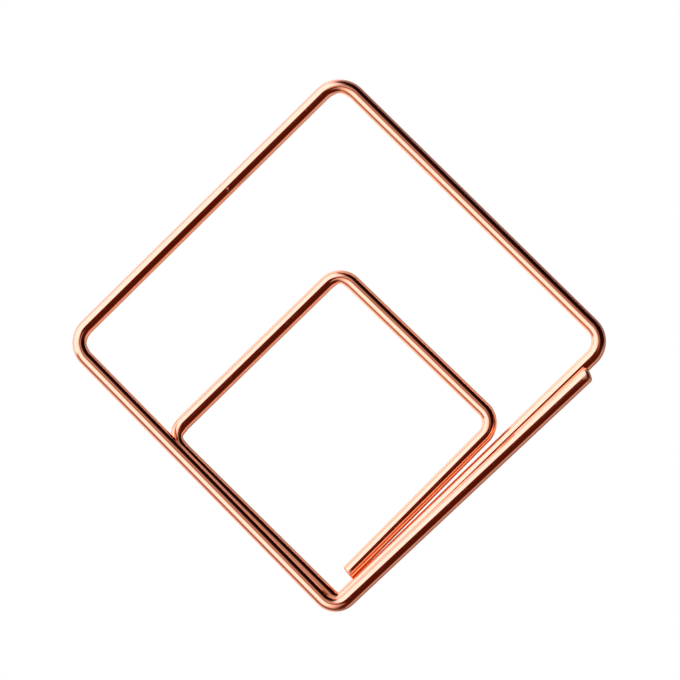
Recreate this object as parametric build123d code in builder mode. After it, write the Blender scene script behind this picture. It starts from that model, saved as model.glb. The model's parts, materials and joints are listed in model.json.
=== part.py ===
"""Square spiral paper clip: one round wire bent into an inner loop and an outer loop.

Millimetres. X runs along the spine, the leg that both loops share, Y runs across
the clip towards its back, and Z is up. The inner loop lies on the table, the spine
rises a little to its left end, and the outer loop climbs from the spine's right end
until it stands just above them both.
"""

import os
from math import cos, radians, sin, sqrt, tan

from build123d import *

# Wire stock
wire_d = 1.0
wire_r = wire_d / 2

# Cut ends: how far each cut leans from square, and the rounding of its rim
inner_cut_lean = 6.0
inner_rim_round = 0.25
outer_cut_lean = 23.0
outer_rim_round = 0.12
outer_corner_roll = 0.45  # radius that the upper left corner of the outer end is rolled over by

# Where the wire's inner end stands in plan, measured from the middle of the clip
inner_end_x = -10.339
inner_end_y = -11.293

# Straight legs in wire order: name, length between corners, heading in plan
legs = [
    ("inner_end_leg", 14.19, 1.15),
    ("inner_right_leg", 14.62, 91.99),
    ("inner_back_leg", 15.89, 180.29),
    ("inner_left_leg", 15.78, 271.33),
    ("spine_leg", 25.10, 0.0),
    ("outer_right_leg", 25.14, 91.48),
    ("outer_back_leg", 25.16, 180.62),
    ("outer_left_leg", 25.08, 270.50),
    ("outer_end_leg", 23.24, 359.03),
]

# Bends between the legs: name, radius of the wire's centre line
bends = [
    ("inner_front_right_bend", 1.30),
    ("inner_back_right_bend", 1.25),
    ("inner_back_left_bend", 1.30),
    ("inner_front_left_bend", 0.75),
    ("outer_front_right_bend", 1.50),
    ("outer_back_right_bend", 1.60),
    ("outer_back_left_bend", 1.50),
    ("outer_front_left_bend", 1.20),
]

# Rise of the centre line above the inner loop's at the spine's left end and round the outer loop
rise_spine_left = 0.36
rise_back_right = 0.55
rise_back_left = 1.25
rise_front_left = 1.85
rise_outer_end = 1.10
rises = [0.0] * 4 + [rise_spine_left, 0.0]
rises += [rise_back_right, rise_back_left, rise_front_left, rise_outer_end]


def corner_points():
    """Follow the legs from the inner end and return every corner of the centre line."""
    x, y = inner_end_x, inner_end_y
    points = [Vector(x, y, wire_r + rises[0])]
    for (_, length, heading), rise in zip(legs, rises[1:]):
        x += length * cos(radians(heading))
        y += length * sin(radians(heading))
        points.append(Vector(x, y, wire_r + rise))
    return points


def make_leg(start, end):
    """A straight stretch of wire between two points of its centre line."""
    along = end - start
    with BuildPart() as leg:
        with BuildSketch(Plane(origin=start, x_dir=along.cross(Vector(0, 0, 1)), z_dir=along)):
            Circle(wire_r)
        extrude(amount=along.length)
    return leg.part


def make_end_leg(start, tip, lean, rim_round, corner_roll=0.0):
    """A leg whose free end, at tip, is cut off with a lean and smoothed round its rim.

    The lean turns the cut clockwise in plan, away from square. A corner roll also takes the
    upper left corner off, along the flat that touches a roll of that radius halfway round.
    """
    along = (tip - start).normalized()
    left = Vector(0, 0, 1).cross(along).normalized()
    spare = wire_d
    outward = along.rotate(Axis.Z, -lean)
    with BuildPart() as leg:
        with BuildSketch(Plane(origin=start, x_dir=along.cross(Vector(0, 0, 1)), z_dir=along)):
            Circle(wire_r)
        extrude(amount=(tip - start).length + spare)
        split(bisect_by=Plane(origin=tip, z_dir=outward), keep=Keep.BOTTOM)
        if corner_roll:
            to_corner = (left + along.cross(left)).normalized()
            inset = corner_roll * (1 - sqrt(0.5))
            reach = wire_r - inset
            lean_gain = tan(radians(lean)) * reach * sqrt(0.5)
            touch = tip + to_corner * reach + along * (lean_gain - inset)
            split(bisect_by=Plane(origin=touch, z_dir=outward + to_corner), keep=Keep.BOTTOM)
        cut_faces = leg.faces().filter_by(GeomType.PLANE).sort_by(Axis(start, along))[1:]
        fillet(cut_faces.edges(), radius=rim_round)
    return leg.part


def make_bend(start, end, into):
    """A round bend that leaves start along into and ends at end."""
    with BuildPart() as bend:
        with BuildLine() as centre_line:
            TangentArc(start, end, tangent=into)
        with BuildSketch(Plane(origin=start, z_dir=into)):
            Circle(wire_r)
        sweep(path=centre_line.line)
    return bend.part


corners = corner_points()
headings = [(b - a).normalized() for a, b in zip(corners, corners[1:])]

# The tangent points where each bend takes over from the legs on either side
bend_starts, bend_ends = [], []
for i, (_, radius) in enumerate(bends):
    setback = radius * tan(radians(headings[i].get_angle(headings[i + 1])) / 2)
    bend_starts.append(corners[i + 1] - headings[i] * setback)
    bend_ends.append(corners[i + 1] + headings[i + 1] * setback)

pieces = {}
for i, (name, _, _) in enumerate(legs):
    if i == 0:
        pieces[name] = make_end_leg(bend_starts[0], corners[0], inner_cut_lean, inner_rim_round)
    elif i == len(bends):
        pieces[name] = make_end_leg(
            bend_ends[-1], corners[-1], outer_cut_lean, outer_rim_round, outer_corner_roll)
    else:
        pieces[name] = make_leg(bend_ends[i - 1], bend_starts[i])
for i, (name, _) in enumerate(bends):
    pieces[name] = make_bend(bend_starts[i], bend_ends[i], headings[i])

os.makedirs("parts", exist_ok=True)
for name, piece in pieces.items():
    piece.label = name
    export_step(piece, f"parts/{name}.step")
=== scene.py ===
"""Looks of a square spiral paper clip: rose-gold plated wire lying on a polished white table.

Metres, in the solids' frame: X along the spine, Y towards the back leg, Z up.
"""

import json

import bpy
import numpy as np
from mathutils import Matrix, Vector


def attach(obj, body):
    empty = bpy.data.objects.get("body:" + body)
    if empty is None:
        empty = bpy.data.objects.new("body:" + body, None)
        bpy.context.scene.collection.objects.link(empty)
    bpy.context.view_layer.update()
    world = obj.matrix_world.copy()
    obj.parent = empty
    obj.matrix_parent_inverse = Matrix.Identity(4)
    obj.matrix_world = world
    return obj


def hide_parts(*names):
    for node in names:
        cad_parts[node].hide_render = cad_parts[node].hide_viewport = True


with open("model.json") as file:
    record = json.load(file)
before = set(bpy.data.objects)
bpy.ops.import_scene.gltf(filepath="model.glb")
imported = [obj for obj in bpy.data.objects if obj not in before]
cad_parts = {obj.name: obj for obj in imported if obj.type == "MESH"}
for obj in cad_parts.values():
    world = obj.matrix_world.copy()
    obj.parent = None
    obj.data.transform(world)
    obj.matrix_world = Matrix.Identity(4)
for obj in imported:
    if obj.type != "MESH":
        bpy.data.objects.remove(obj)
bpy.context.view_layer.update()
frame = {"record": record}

MM = 0.001

# Wire form, in the order that it is bent, from the inner end to the outer end
WIRE_RADIUS = 0.5 * MM
INNER_END = np.array([-10.339, -11.293]) * MM
LEG_LENGTHS = np.array([14.19, 14.62, 15.89, 15.78, 25.10, 25.14, 25.16, 25.08, 23.24]) * MM
LEG_HEADINGS = np.array([1.15, 91.99, 180.29, 271.33, 0.0, 91.48, 180.62, 270.50, 359.03])
BEND_RADII = np.array([1.30, 1.25, 1.30, 0.75, 1.50, 1.60, 1.50, 1.20]) * MM
RISES = np.array([0, 0, 0, 0, 0.36, 0, 0.55, 1.25, 1.85, 1.10]) * MM
SPINE = 4

# Cut ends: lean of the cut, and the rounding of its rim where it is sharpest and where it is rolled
INNER_CUT = np.radians(6.0), 0.10 * MM, 0.10 * MM
OUTER_CUT = np.radians(23.0), 0.12 * MM, 0.45 * MM

# Hidden ends, where the loops' wires turn against each other: hollow of each, and room between
JOINT_HOLLOW = 0.1 * MM
JOINT_ROOM = 0.002 * MM

# A nick on top of the outer back leg: its middle, its turn in plan, its half sizes and its depth
NICK_LEG = 6
NICK_PLACE = np.array([1.68, 12.63, 1.81]) * MM
NICK_TURN = np.radians(46)
NICK_HALVES = np.array([0.22, 0.055, 0.30]) * MM
NICK_DEPTH = 0.008 * MM

# Pinch that a bending pin leaves inside each bend: its depth, and its half length in shares of the bend
PINCH_DEPTHS = np.array([0.02, 0.12, 0.16, 0.05, 0.02, 0.08, 0.05, 0.03]) * MM
PINCH_SPAN = 0.2

# Fineness of the wire's surface
SIDES = 96
LEG_STEP = 0.2 * MM
BEND_RINGS = 48
ROUND_RINGS = 12
DISC_SHARES = np.array([0.0, 0.3, 0.6, 0.85, 0.97])
NICK_RINGS = np.linspace(-0.35, 0.35, 36) * MM
SHARP_EDGE = np.radians(40)

UP = np.array([0.0, 0.0, 1.0])


def unit(vectors):
    """Each vector divided by its length."""
    return vectors / np.linalg.norm(vectors, axis=-1, keepdims=True)


def wire_corners():
    """Corners of the centre line: the legs laid end to end, each turned to its heading in plan,
    at the height of a wire that lies on the table plus the corner's rise."""
    heading = np.radians(LEG_HEADINGS)
    steps = LEG_LENGTHS[:, None] * np.column_stack([np.cos(heading), np.sin(heading)])
    plan = np.vstack([INNER_END, INNER_END + np.cumsum(steps, axis=0)])
    return np.column_stack([plan, WIRE_RADIUS + RISES])


def leg_stretch(start, end, nicked):
    """Straight run: start plus a share of the way to end, in even steps, with fine ones at the nick.
    Its points, its tangents and its pinch, which is none."""
    length = np.linalg.norm(end - start)
    count = int(np.ceil(length / LEG_STEP))
    share = np.arange(count) / count
    if nicked:
        middle = (NICK_PLACE - start) @ (end - start) / length**2
        share = np.union1d(share, middle + NICK_RINGS / length)
    tangent = np.broadcast_to(unit(end - start), (len(share), 3))
    return start + share[:, None] * (end - start), tangent, np.zeros_like(tangent)


def bend_stretch(start, into, out, radius, pinch):
    """Arc that leaves start along into: R sin(t) along into plus R (1 - cos(t)) towards the bend's
    centre. Its points, its tangents and its pinch: an arrow to that centre, as long as the square
    root of the depth there, which fades from the middle of the bend by the exponential of minus the
    squared distance over its half length."""
    turn = np.arccos(into @ out)
    inward = (out - np.cos(turn) * into) / np.sin(turn)
    share = np.arange(BEND_RINGS)[:, None] / BEND_RINGS
    angle = turn * share
    centre = start + radius * (np.sin(angle) * into + (1 - np.cos(angle)) * inward)
    tangent = np.cos(angle) * into + np.sin(angle) * inward
    depth = pinch * np.exp(-(((share - 0.5) / PINCH_SPAN) ** 2))
    to_centre = np.cos(angle) * inward - np.sin(angle) * into
    return centre, tangent, np.sqrt(depth) * to_centre


def wire_path(first_leg, last_leg):
    """Centre line from the bend before first_leg, if there is one, to the end of last_leg, as rows of
    points, tangents and pinches."""
    corners = wire_corners()
    headings = unit(np.diff(corners, axis=0))
    turns = np.arccos(np.sum(headings[:-1] * headings[1:], axis=1))
    setbacks = (BEND_RADII * np.tan(turns / 2))[:, None]
    bend_starts = corners[1:-1] - headings[:-1] * setbacks
    bend_ends = corners[1:-1] + headings[1:] * setbacks
    rows = []
    for leg in range(first_leg, last_leg + 1):
        if leg > 0:
            bend = leg - 1
            rows.append(bend_stretch(bend_starts[bend], headings[bend], headings[leg],
                                     BEND_RADII[bend], PINCH_DEPTHS[bend]))
        start = bend_ends[leg - 1] if leg > 0 else corners[0]
        end = bend_starts[leg] if leg < len(BEND_RADII) else corners[-1]
        rows.append(leg_stretch(start, end, leg == NICK_LEG))
    rows.append((end[None], headings[last_leg][None], np.zeros((1, 3))))
    return [np.concatenate(column) for column in zip(*rows)]


def cut_end_profile(rounding):
    """Rim of a cut end as radius and depth for each rounding, from the middle of the cut outwards:
    a flat disc, then a quarter circle that rolls over into the wire's side."""
    flat = WIRE_RADIUS - rounding
    disc = DISC_SHARES[:, None] * flat
    roll = np.linspace(0, np.pi / 2, ROUND_RINGS)[:, None]
    radius = np.concatenate([disc, flat + rounding * np.sin(roll)])
    depth = np.concatenate([0 * disc, rounding * (1 - np.cos(roll))])
    return radius, depth


def nick_press(points):
    """How deep the nick is at each point: its depth times the exponential of minus the squared
    distances from its middle along it, across it and in height, each over its half size."""
    away = points - NICK_PLACE
    lengthwise = np.array([np.cos(NICK_TURN), np.sin(NICK_TURN), 0])
    axes = np.array([lengthwise, np.cross(UP, lengthwise), UP])
    return NICK_DEPTH * np.exp(-np.sum((away @ axes.T / NICK_HALVES) ** 2, axis=-1))


def wire_rings(path, start_cut, end_cut):
    """Rings carried along the path: at angle a, radius times cos(a) towards the left of the path
    and sin(a) upwards. The nick presses them in, and so does a bend's pinch, by its depth times the
    squared cosine of the angle from its arrow. A cut end adds the rim's rings, leaned in plan so that
    the left side, looking out of the wire, is longer; its rounding grows towards the upper left by a
    cosine. An end with no cut meets the other loop's wire and is closed by a shallow hollow cone.
    Returns the rings, the distance along the wire at each ring, and 1 on the rings of a cut."""
    centre, tangent, pinch = path
    angle = 2 * np.pi * np.arange(SIDES) / SIDES - np.pi / 2
    rise = unit(UP - (tangent @ UP)[:, None] * tangent)
    left = np.cross(rise, tangent)
    cosine, sine = np.cos(angle)[None, :, None], np.sin(angle)[None, :, None]
    around = cosine * left[:, None] + sine * rise[:, None]
    along = np.concatenate([[0], np.cumsum(np.linalg.norm(np.diff(centre, axis=0), axis=1))])
    rings = centre[:, None] + WIRE_RADIUS * around
    pinched = np.clip(np.einsum("rsk,rk->rs", around, pinch), 0, None) ** 2
    rings = rings - (nick_press(rings) + pinched)[..., None] * around
    cut = np.zeros(len(centre))

    def rim(index, outward, lean, sharp, rolled):
        """Rings over the cut, from the middle of it to the wire's side."""
        out = outward * tangent[index]
        side = around[index] @ (outward * left[index])
        corner = (side + around[index] @ rise[index]) / np.sqrt(2)
        radius, depth = cut_end_profile(sharp + (rolled - sharp) * (1 + corner) / 2)
        reach = np.tan(lean) * radius * side - depth
        return centre[index] + radius[..., None] * around[index] + reach[..., None] * out

    def clear_of(lean, sharp, rolled):
        """Length of wire that the leaning cut and its rounding take up."""
        return np.tan(lean) * WIRE_RADIUS + max(sharp, rolled) + LEG_STEP / 4

    if start_cut is None:
        rings[0] += JOINT_ROOM * tangent[0]
        hollow = np.tile(centre[0] + JOINT_HOLLOW * tangent[0], (1, SIDES, 1))
        rings = np.concatenate([hollow, rings])
        along = np.concatenate([along[:1], along])
        cut = np.concatenate([[0], cut])
    else:
        keep = along > clear_of(*start_cut)
        extra = rim(0, -1, *start_cut)
        rings = np.concatenate([extra, rings[keep]])
        along = np.concatenate([np.zeros(len(extra)), along[keep]])
        cut = np.concatenate([np.ones(len(extra)), cut[keep]])
    if end_cut is None:
        hollow = np.tile(centre[-1] - JOINT_HOLLOW * tangent[-1], (1, SIDES, 1))
        rings = np.concatenate([rings, hollow])
        along = np.concatenate([along, along[-1:]])
        cut = np.concatenate([cut, [0]])
    else:
        keep = along < along[-1] - clear_of(*end_cut)
        extra = rim(-1, 1, *end_cut)[::-1]
        rings = np.concatenate([rings[keep], extra])
        cut = np.concatenate([cut[keep], np.ones(len(extra))])
        along = np.concatenate([along[keep], np.full(len(extra), along[-1])])
    return rings, along, cut


def closed_skin(name, rings, along, cut):
    """Mesh over the rings: quads between neighbours, and the first and last ring drawn together to
    a point. The UV map runs along the wire in millimetres and once round it."""
    count = len(rings)
    inner = rings[1:-1].reshape(-1, 3)
    points = np.vstack([rings[0, :1], inner, rings[-1, :1]])
    last = len(points) - 1
    ring, side = np.meshgrid(np.arange(count - 3), np.arange(SIDES), indexing="ij")
    after = (side + 1) % SIDES
    here, ahead = 1 + ring * SIDES, 1 + (ring + 1) * SIDES
    quads = np.stack([here + side, here + after, ahead + after, ahead + side], axis=-1)
    column = np.arange(SIDES)
    turned = (column + 1) % SIDES
    tail = 1 + (count - 3) * SIDES
    first_fan = np.column_stack([np.zeros(SIDES, int), 1 + turned, 1 + column])
    last_fan = np.column_stack([np.full(SIDES, last), tail + column, tail + turned])
    mesh = bpy.data.meshes.new(name)
    faces = quads.reshape(-1, 4).tolist() + first_fan.tolist() + last_fan.tolist()
    mesh.from_pydata(points.tolist(), [], faces)
    reach = along / MM
    low, high = column / SIDES, (column + 1) / SIDES
    middle = (low + high) / 2
    quad_u = np.stack([reach[1 + ring]] * 2 + [reach[2 + ring]] * 2, axis=-1)
    quad_v = np.stack([low[side], high[side], high[side], low[side]], axis=-1)
    first_v = np.column_stack([middle, high, low])
    last_v = np.column_stack([middle, low, high])
    u = np.concatenate([quad_u.ravel(), np.full(3 * SIDES, reach[0]), np.full(3 * SIDES, reach[-1])])
    v = np.concatenate([quad_v.ravel(), first_v.ravel(), last_v.ravel()])
    layer = mesh.uv_layers.new(name="wire_run")
    layer.data.foreach_set("uv", np.column_stack([u, v]).ravel().astype(np.float32))
    mark = mesh.attributes.new("cut_face", "FLOAT", "POINT")
    marks = np.concatenate([cut[:1], np.repeat(cut[1:-1], SIDES), cut[-1:]])
    mark.data.foreach_set("value", marks.astype(np.float32))
    mesh.polygons.foreach_set("use_smooth", np.ones(len(mesh.polygons), bool))
    mesh.set_sharp_from_angle(angle=SHARP_EDGE)
    mesh.update()
    piece = bpy.data.objects.new(name, mesh)
    bpy.context.scene.collection.objects.link(piece)
    return piece


class Value:
    """A shader socket that takes part in arithmetic; every operation adds a Math node."""

    def __init__(self, tree, socket):
        self.tree = tree
        self.socket = socket

    def __add__(self, other):
        return self.tree.math("ADD", self, other)

    def __radd__(self, other):
        return self.tree.math("ADD", other, self)

    def __sub__(self, other):
        return self.tree.math("SUBTRACT", self, other)

    def __rsub__(self, other):
        return self.tree.math("SUBTRACT", other, self)

    def __mul__(self, other):
        return self.tree.math("MULTIPLY", self, other)

    def __rmul__(self, other):
        return self.tree.math("MULTIPLY", other, self)

    def ramp(self, low, high):
        """0 below low, 1 above high, and a smooth S between them."""
        return self.tree.add("ShaderNodeMapRange", {"interpolation_type": "SMOOTHSTEP"}, {
            "Value": self, "From Min": low, "From Max": high})


class Nodes:
    """The node tree of a material or of the room's light, with one method that adds any node."""

    def __init__(self, tree):
        self.tree = tree
        tree.nodes.clear()

    def add(self, kind, settings, inputs, output=0):
        node = self.tree.nodes.new(kind)
        for name, value in settings.items():
            setattr(node, name, value)
        for name, value in inputs.items():
            if isinstance(value, Value):
                self.tree.links.new(value.socket, node.inputs[name])
            else:
                node.inputs[name].default_value = value
        return Value(self, node.outputs[output]) if node.outputs else None

    def math(self, operation, *terms):
        return self.add("ShaderNodeMath", {"operation": operation}, dict(enumerate(terms)))


# Colours of the plating: the range that it drifts over, and seen edge on
DEEP_TINT = (0.96, 0.48, 0.26, 1)
PALE_TINT = (0.99, 0.52, 0.29, 1)
EDGE_TINT = (1.0, 0.8, 0.68, 1)

# Grain of the plating: its scale round the wire, its scale along each millimetre, and its detail
DRAWING_GRAIN = 9.0, 0.12, 3.0
TONE_GRAIN = 0.5, 0.22, 2.0
HANDLING_GRAIN = 1.2, 0.9, 4.0
RUB_GRAIN = 1.6, 7.0, 2.0
GRAIN_ROUGHNESS = 0.55

# Roughness of the bright plating, and what its drawing lines and handling add
BRIGHT = 0.03
DRAWING_DULL = 0.05
HANDLING_DULL = 0.03

# Wear: rub marks and the scuffed nick
RUB_EDGE = 0.62, 0.70
RUB_DULL = 0.05
SCUFF_EDGE = 0.5, 1.3
SCUFF_DULL = 0.27

# Cut ends: the shear's lines in each metre, and what the cut and its lines add to the roughness
SHEAR_LINES = 2000.0, 30000.0, 3000.0
SHEAR_DETAIL = 3.0
CUT_DULL = 0.08
SHEAR_DULL = 0.20

# Relief: its strength and depth, and the handling and shear lines' heights against the drawing lines
RELIEF_STRENGTH = 0.05
RELIEF_DEPTH = 0.02 * MM
HANDLING_HEIGHT = 0.6
SHEAR_HEIGHT = 8.0


def rose_gold_plate():
    """Bright rose-gold plating over drawn wire: fine lines along the wire, a slow drift of tone, rub
    marks, a scuff in the nick, and a duller grain with the shear's lines on the cut ends."""
    material = bpy.data.materials.new("rose_gold_plate")
    material.use_nodes = True
    nodes = Nodes(material.node_tree)
    run = nodes.add("ShaderNodeUVMap", {"uv_map": "wire_run"}, {})
    along = nodes.add("ShaderNodeSeparateXYZ", {}, {"Vector": run}, "X")
    round_share = nodes.add("ShaderNodeSeparateXYZ", {}, {"Vector": run}, "Y")
    angle = round_share * (2 * np.pi)
    circle_x = nodes.math("COSINE", angle)
    circle_y = nodes.math("SINE", angle)

    def grain(around_scale, along_scale, detail):
        """Noise on a cylinder, so that it closes round the wire."""
        place = nodes.add("ShaderNodeCombineXYZ", {}, {
            "X": circle_x * around_scale, "Y": circle_y * around_scale, "Z": along * along_scale})
        return nodes.add("ShaderNodeTexNoise", {}, {
            "Vector": place, "Scale": 1.0, "Detail": detail, "Roughness": GRAIN_ROUGHNESS})

    drawing_lines = grain(*DRAWING_GRAIN)
    tone = grain(*TONE_GRAIN)
    handling = grain(*HANDLING_GRAIN)
    rubs = grain(*RUB_GRAIN).ramp(*RUB_EDGE)
    place = nodes.add("ShaderNodeTexCoord", {}, {}, "Object")
    cut = nodes.add("ShaderNodeAttribute", {"attribute_name": "cut_face"}, {}, "Fac")
    down_cut = nodes.add("ShaderNodeVectorMath", {"operation": "MULTIPLY"}, {0: place, 1: SHEAR_LINES})
    shear = nodes.add("ShaderNodeTexNoise", {}, {
        "Vector": down_cut, "Scale": 1.0, "Detail": SHEAR_DETAIL})
    in_nick = nodes.add("ShaderNodeMapping", {"vector_type": "TEXTURE"}, {
        "Vector": place, "Location": NICK_PLACE, "Rotation": (0, 0, NICK_TURN), "Scale": NICK_HALVES})
    from_nick = nodes.add("ShaderNodeVectorMath", {"operation": "LENGTH"}, {0: in_nick}, "Value")
    scuff = 1 - from_nick.ramp(*SCUFF_EDGE)
    tint = nodes.add("ShaderNodeMix", {"data_type": "RGBA"}, {
        "Factor": tone, "A": DEEP_TINT, "B": PALE_TINT}, 2)
    worn = RUB_DULL * rubs + SCUFF_DULL * scuff + cut * (CUT_DULL + SHEAR_DULL * shear)
    rough = BRIGHT + DRAWING_DULL * drawing_lines + HANDLING_DULL * handling + worn
    relief = nodes.add("ShaderNodeBump", {}, {
        "Height": drawing_lines + HANDLING_HEIGHT * handling + SHEAR_HEIGHT * cut * shear,
        "Strength": RELIEF_STRENGTH, "Distance": RELIEF_DEPTH})
    shader = nodes.add("ShaderNodeBsdfPrincipled", {}, {
        "Base Color": tint, "Metallic": 1.0, "Roughness": rough, "Normal": relief,
        "Specular Tint": EDGE_TINT})
    nodes.add("ShaderNodeOutputMaterial", {}, {"Surface": shader})
    return material


def make_wire(name, body, nodes, path, start_cut, end_cut, material):
    """One loop's wire, standing for that loop's legs and bends."""
    piece = closed_skin(name, *wire_rings(path, start_cut, end_cut))
    piece.data.materials.append(material)
    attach(piece, body)
    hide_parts(*nodes)


loops = frame["record"]["behaviour"]["bodies"]
plate = rose_gold_plate()
make_wire("inner_loop_wire", "inner_loop", loops["inner_loop"],
          wire_path(0, SPINE), INNER_CUT, None, plate)
make_wire("outer_loop_wire", "outer_loop", loops["outer_loop"],
          wire_path(SPINE + 1, len(LEG_LENGTHS) - 1), None, OUTER_CUT, plate)

# Polished white table, with a painted glow inside the clip's square: an emission that stands in for the
# light the wire scatters onto it
TABLE_HALF = 4.0
TABLE_WHITE = (0.85, 0.85, 0.85, 1)
TABLE_ROUGHNESS = 0.15
TABLE_GLOSS = 0.55
PAINTED_GLOW_EDGE = 12 * MM, 15 * MM
INSIDE_PAINTED_GLOW = (0.22, 0.22, 0.22, 1)
OUTSIDE_PAINTED_GLOW = (0.0, 0.0, 0.0, 1)
PAPER_WHITE = (1, 1, 1, 1)

# Studio room; its edges are on the arrow to a place in it: x along the spine, y to the back, z up
LIGHT_COLOUR = (1.9, 1.75, 2.5, 1)
GLOW_COLOUR = (1.9, 1.5, 1.66, 1)

# Wall of light at the back, and where it ends on the right
BACK_EDGE = np.sin(np.radians([18, 28]))
BACK_END = 0.35, 0.75

# Evenly lit room, and how it dims low on the left
ROOM_LEVEL = 0.31
LOW_LEFT = 0.05
LOW_LEFT_EDGE = 0.15, 0.6
LOW_LEFT_END = -0.4, -0.1

# Round glow on the left: its middle, how fast it fades, its level, and where it turns whiter
LEFT_GLOW = np.array([-0.62, 0.1, 0.78])
LEFT_SPREAD = 8.0
LEFT_LEVEL = 0.75
WHITER_EDGE = 0.5, 1.0

# What ends the room and the glow: the right side, the camera's arm and the slanting front
RIGHT_CUT = 0.38, 0.72
ARM_MIDDLE = 0.025
ARM_EDGE = 0.07, 0.10
FRONT_CUT = -0.5, -0.05
FRONT_SLANT = 0.65
LOW_EDGE = 0.12, 0.36

# Unlit rest of the room, and where its front gives way to its right side
FRONT_DARK = (0.085, 0.012, 0.004, 1)
RIGHT_DARK = (0.015, 0.002, 0.002, 1)
RIGHT_EDGE = 0.15, 0.6

# Lamp on the left, low over the table
LAMP_ARROW = Vector((-0.95, 0.1, 0.3))
LAMP_ENERGY = 2.0
LAMP_WIDTH = np.radians(25)


def white_to_camera(nodes, shader, white):
    """The shader as every ray but the camera's own meets it; the camera sees plain white."""
    seen = nodes.add("ShaderNodeLightPath", {}, {}, "Is Camera Ray")
    return nodes.add("ShaderNodeMixShader", {}, {"Fac": seen, 1: shader, 2: white})


def white_table():
    """A polished white table top that mirrors the room into the wire, cut out to plain white in the
    picture. Inside the clip's square it has a painted glow: it emits a little light that stands in for
    the light that the wire throws on it."""
    mesh = bpy.data.meshes.new("table")
    corners = [(x * TABLE_HALF, y * TABLE_HALF, 0) for x, y in ((-1, -1), (1, -1), (1, 1), (-1, 1))]
    mesh.from_pydata(corners, [], [(0, 1, 2, 3)])
    table = bpy.data.objects.new("table", mesh)
    bpy.context.scene.collection.objects.link(table)
    material = bpy.data.materials.new("white_table")
    material.use_nodes = True
    nodes = Nodes(material.node_tree)
    place = nodes.add("ShaderNodeTexCoord", {}, {}, "Object")
    sides = nodes.add("ShaderNodeVectorMath", {"operation": "ABSOLUTE"}, {0: place})
    x = nodes.add("ShaderNodeSeparateXYZ", {}, {"Vector": sides}, "X")
    y = nodes.add("ShaderNodeSeparateXYZ", {}, {"Vector": sides}, "Y")
    away = nodes.math("MAXIMUM", x, y)
    # Painted glow: the table emits light inside the clip's square and fades out beyond its edge,
    # standing in for bounced light from the wire
    glow = nodes.add("ShaderNodeMix", {"data_type": "RGBA"}, {
        "Factor": away.ramp(*PAINTED_GLOW_EDGE), "A": INSIDE_PAINTED_GLOW, "B": OUTSIDE_PAINTED_GLOW}, 2)
    top = nodes.add("ShaderNodeBsdfPrincipled", {}, {
        "Base Color": TABLE_WHITE, "Roughness": TABLE_ROUGHNESS, "Metallic": TABLE_GLOSS,
        "Emission Color": glow, "Emission Strength": 1.0})
    white = nodes.add("ShaderNodeEmission", {}, {"Color": PAPER_WHITE})
    nodes.add("ShaderNodeOutputMaterial", {}, {"Surface": white_to_camera(nodes, top, white)})
    mesh.materials.append(material)


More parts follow.
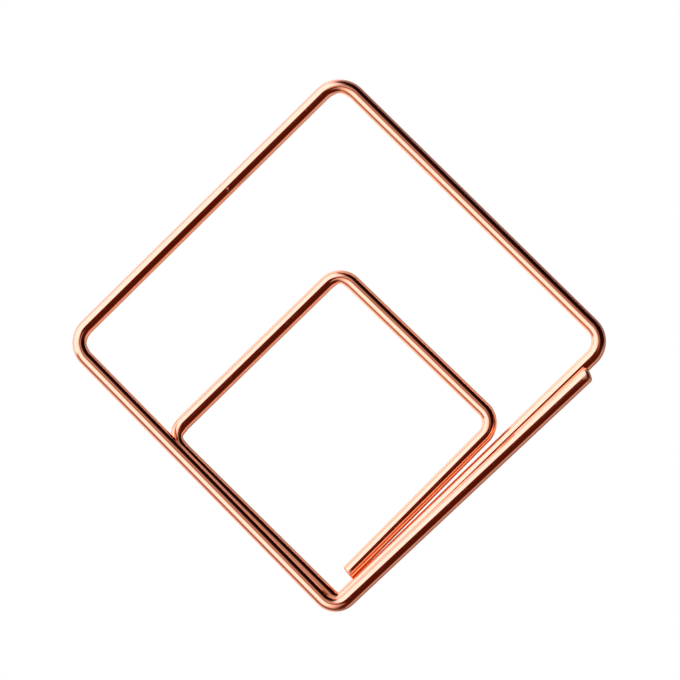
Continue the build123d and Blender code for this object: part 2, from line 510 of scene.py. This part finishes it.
def studio_room():
    """Light by direction. Behind the clip a wall of light runs from a little off the zenith down to
    the table. On the left a round glow, which fades by the exponential of the cosine of the angle
    from its middle, stands in an evenly lit room that dims low down. A camera arm over the clip and
    a dark front block both, down to a strip along the table. The rest is unlit and warm, and darkest
    on the right."""
    world = bpy.data.worlds.new("studio_room")
    world.use_nodes = True
    nodes = Nodes(world.node_tree)
    arrow = nodes.add("ShaderNodeTexCoord", {}, {}, "Generated")
    x = nodes.add("ShaderNodeSeparateXYZ", {}, {"Vector": arrow}, "X")
    y = nodes.add("ShaderNodeSeparateXYZ", {}, {"Vector": arrow}, "Y")
    z = nodes.add("ShaderNodeSeparateXYZ", {}, {"Vector": arrow}, "Z")
    back = y.ramp(*BACK_EDGE) * (1 - x.ramp(*BACK_END))
    middle = LEFT_GLOW / np.linalg.norm(LEFT_GLOW)
    cosine = x * middle[0] + y * middle[1] + z * middle[2]
    spread = (cosine - 1) * LEFT_SPREAD
    clear = nodes.math("MAXIMUM", z.ramp(*LOW_LEFT_EDGE), x.ramp(*LOW_LEFT_END))
    room = ROOM_LEVEL * (LOW_LEFT + (1 - LOW_LEFT) * clear)
    glow = room + LEFT_LEVEL * nodes.math("EXPONENT", spread)
    aside = x - ARM_MIDDLE
    arm = 1 - nodes.math("ABSOLUTE", aside).ramp(*ARM_EDGE)
    front = 1 - (y - FRONT_SLANT * x).ramp(*FRONT_CUT)
    shade = nodes.math("MAXIMUM", arm, front) * z.ramp(*LOW_EDGE)
    left = glow * (1 - shade) * (1 - x.ramp(*RIGHT_CUT))
    dark = nodes.add("ShaderNodeMix", {"data_type": "RGBA"}, {
        "Factor": x.ramp(*RIGHT_EDGE), "A": FRONT_DARK, "B": RIGHT_DARK}, 2)
    glowing = nodes.add("ShaderNodeMix", {"data_type": "RGBA"}, {
        "Factor": left, "A": dark, "B": GLOW_COLOUR}, 2)
    whiter = nodes.math("MAXIMUM", back, left.ramp(*WHITER_EDGE))
    colour = nodes.add("ShaderNodeMix", {"data_type": "RGBA"}, {
        "Factor": whiter, "A": glowing, "B": LIGHT_COLOUR}, 2)
    lit = nodes.add("ShaderNodeBackground", {}, {"Color": colour})
    white = nodes.add("ShaderNodeBackground", {}, {"Color": PAPER_WHITE})
    nodes.add("ShaderNodeOutputWorld", {}, {"Surface": white_to_camera(nodes, lit, white)})
    bpy.context.scene.world = world


def side_lamp():
    """Lamp on the left that lights the table and throws the wire's shadow on it, without showing in
    the wire."""
    lamp = bpy.data.lights.new("side_lamp", "SUN")
    lamp.energy = LAMP_ENERGY
    lamp.angle = LAMP_WIDTH
    holder = bpy.data.objects.new("side_lamp", lamp)
    holder.rotation_euler = LAMP_ARROW.to_track_quat("Z", "Y").to_euler()
    holder.visible_glossy = False
    bpy.context.scene.collection.objects.link(holder)


def overhead_camera():
    """Straight above the clip, turned so that the spine runs up to the right."""
    frame_width = 45.33 * MM
    lens, sensor = 400.0, 36.0
    aim = Vector((0.118, 0.266, 1.0)) * MM
    turned = np.radians(-44.04)
    right = Vector((np.cos(turned), np.sin(turned), 0))
    up = Vector((-np.sin(turned), np.cos(turned), 0))
    camera = bpy.data.cameras.new("camera")
    camera.lens, camera.sensor_width = lens, sensor
    holder = bpy.data.objects.new("camera", camera)
    back = right.cross(up)
    place = aim + back * (frame_width * lens / sensor)
    holder.matrix_world = Matrix((right, up, back)).transposed().to_4x4()
    holder.location = place
    bpy.context.scene.collection.objects.link(holder)
    bpy.context.scene.camera = holder


white_table()
studio_room()
side_lamp()
overhead_camera()
bpy.context.scene.view_settings.view_transform = "Standard"
